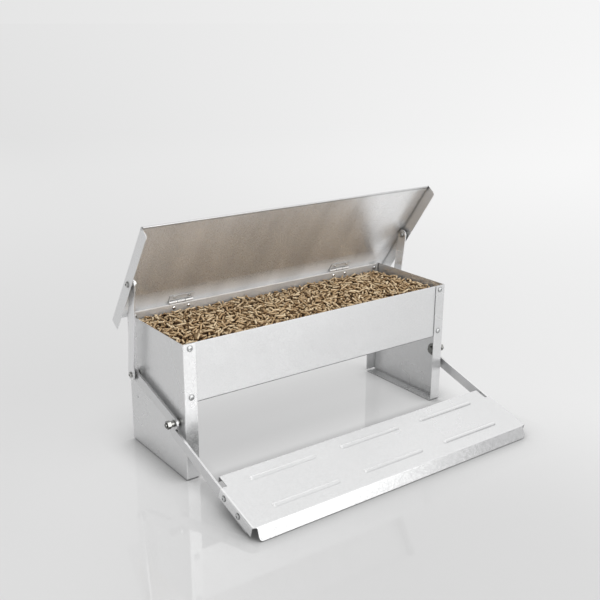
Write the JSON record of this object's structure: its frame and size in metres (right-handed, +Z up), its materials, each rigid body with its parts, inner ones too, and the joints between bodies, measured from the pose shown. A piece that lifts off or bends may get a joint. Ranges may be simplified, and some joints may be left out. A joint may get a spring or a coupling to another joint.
{
  "type": "poultry feeder",
  "caption": "Treadle feeder in folded galvanised sheet: long trough between two end panels, plate in front on arms, flat links that lift a hinged lid",
  "frame": {"origin": "on the floor under the middle of the feeder's box, with the plate down and the lid open", "axes": "X runs along the trough, the treadle plate is towards -Y, the hinges are towards +Y, and +Z is up"},
  "size_m": [0.5398, 0.3708, 0.3593],
  "materials": {
    "panel_zinc": "galvanised sheet, flat spangle",
    "trough_zinc": "galvanised sheet, flat spangle",
    "lid_zinc": "galvanised sheet, satin",
    "plate_zinc": "galvanised sheet, flat spangle",
    "arm_steel": "zinc-plated strip, satin",
    "bolt_zinc": "bright zinc plating",
    "washer_zinc": "bright zinc plating",
    "spacer_zinc": "bright zinc plating",
    "hinge_zinc": "bright zinc plating",
    "pin_steel": "plain steel wire",
    "rivet_aluminium": "plain aluminium"
  },
  "bodies": {
    "frame": {"end_panel_left": "panel_zinc", "end_panel_right": "panel_zinc", "trough": "trough_zinc", "front_rivet_lower_left": "rivet_aluminium", "front_rivet_lower_right": "rivet_aluminium", "front_rivet_upper_left": "rivet_aluminium", "front_rivet_upper_right": "rivet_aluminium", "hinge_pin_left": "pin_steel", "hinge_pin_right": "pin_steel", "hinge_wall_leaf_left": "hinge_zinc", "hinge_wall_leaf_right": "hinge_zinc", "pivot_bolt_left": "bolt_zinc", "pivot_bolt_right": "bolt_zinc", "pivot_bushing_left": "spacer_zinc", "pivot_bushing_right": "spacer_zinc", "pivot_nut_left": "bolt_zinc", "pivot_nut_right": "bolt_zinc", "pivot_spacer_left": "spacer_zinc", "pivot_spacer_right": "spacer_zinc", "pivot_washer_left": "washer_zinc", "pivot_washer_right": "washer_zinc", "rear_rivet_lower_left": "rivet_aluminium", "rear_rivet_lower_right": "rivet_aluminium", "rear_rivet_upper_left": "rivet_aluminium", "rear_rivet_upper_right": "rivet_aluminium", "wall_leaf_rivet_1_left": "rivet_aluminium", "wall_leaf_rivet_1_right": "rivet_aluminium", "wall_leaf_rivet_2_left": "rivet_aluminium", "wall_leaf_rivet_2_right": "rivet_aluminium"},
    "treadle": {"treadle_plate": "plate_zinc", "link_lower_nut_left": "bolt_zinc", "link_lower_nut_right": "bolt_zinc", "plate_rivet_1_left": "rivet_aluminium", "plate_rivet_1_right": "rivet_aluminium", "plate_rivet_2_left": "rivet_aluminium", "plate_rivet_2_right": "rivet_aluminium", "treadle_arm_left": "arm_steel", "treadle_arm_right": "arm_steel"},
    "lid": {"lid": "lid_zinc", "hinge_lid_leaf_left": "hinge_zinc", "hinge_lid_leaf_right": "hinge_zinc", "lid_leaf_rivet_1_left": "rivet_aluminium", "lid_leaf_rivet_1_right": "rivet_aluminium", "lid_leaf_rivet_2_left": "rivet_aluminium", "lid_leaf_rivet_2_right": "rivet_aluminium", "link_upper_bolt_left": "bolt_zinc", "link_upper_bolt_right": "bolt_zinc", "link_upper_nut_left": "bolt_zinc", "link_upper_nut_right": "bolt_zinc", "link_upper_spacer_left": "spacer_zinc", "link_upper_spacer_right": "spacer_zinc"},
    "link_left": {"lid_link_left": "arm_steel", "link_lower_bolt_left": "bolt_zinc", "link_lower_spacer_left": "spacer_zinc"},
    "link_right": {"lid_link_right": "arm_steel", "link_lower_bolt_right": "bolt_zinc", "link_lower_spacer_right": "spacer_zinc"}
  },
  "joints": [
    {"name": "treadle_pivot", "type": "hinge", "parent": "frame", "child": "treadle", "pos_m": [0, 0.02243, 0.085], "axis": [-1, 0, 0], "range_deg": [0, 26.4]},
    {"name": "lid_hinge", "type": "hinge", "parent": "frame", "child": "lid", "pos_m": [0, 0.17243, 0.2088], "axis": [1, 0, 0], "range_deg": [0, 55.5]},
    {"name": "link_left_pivot", "type": "hinge", "parent": "lid", "child": "link_left", "pos_m": [-0.26, 0.12467, 0.2654], "axis": [-1, 0, 0], "range_deg": [0, 44]},
    {"name": "link_right_pivot", "type": "hinge", "parent": "lid", "child": "link_right", "pos_m": [0.26, 0.12467, 0.2654], "axis": [-1, 0, 0], "range_deg": [0, 44]}
  ],
  "couplings": [
    {"joint": "lid_hinge", "follows": "treadle_pivot", "ratio": 2.1011},
    {"joint": "link_left_pivot", "follows": "treadle_pivot", "ratio": 1.6657},
    {"joint": "link_right_pivot", "follows": "treadle_pivot", "ratio": 1.6657}
  ]
}
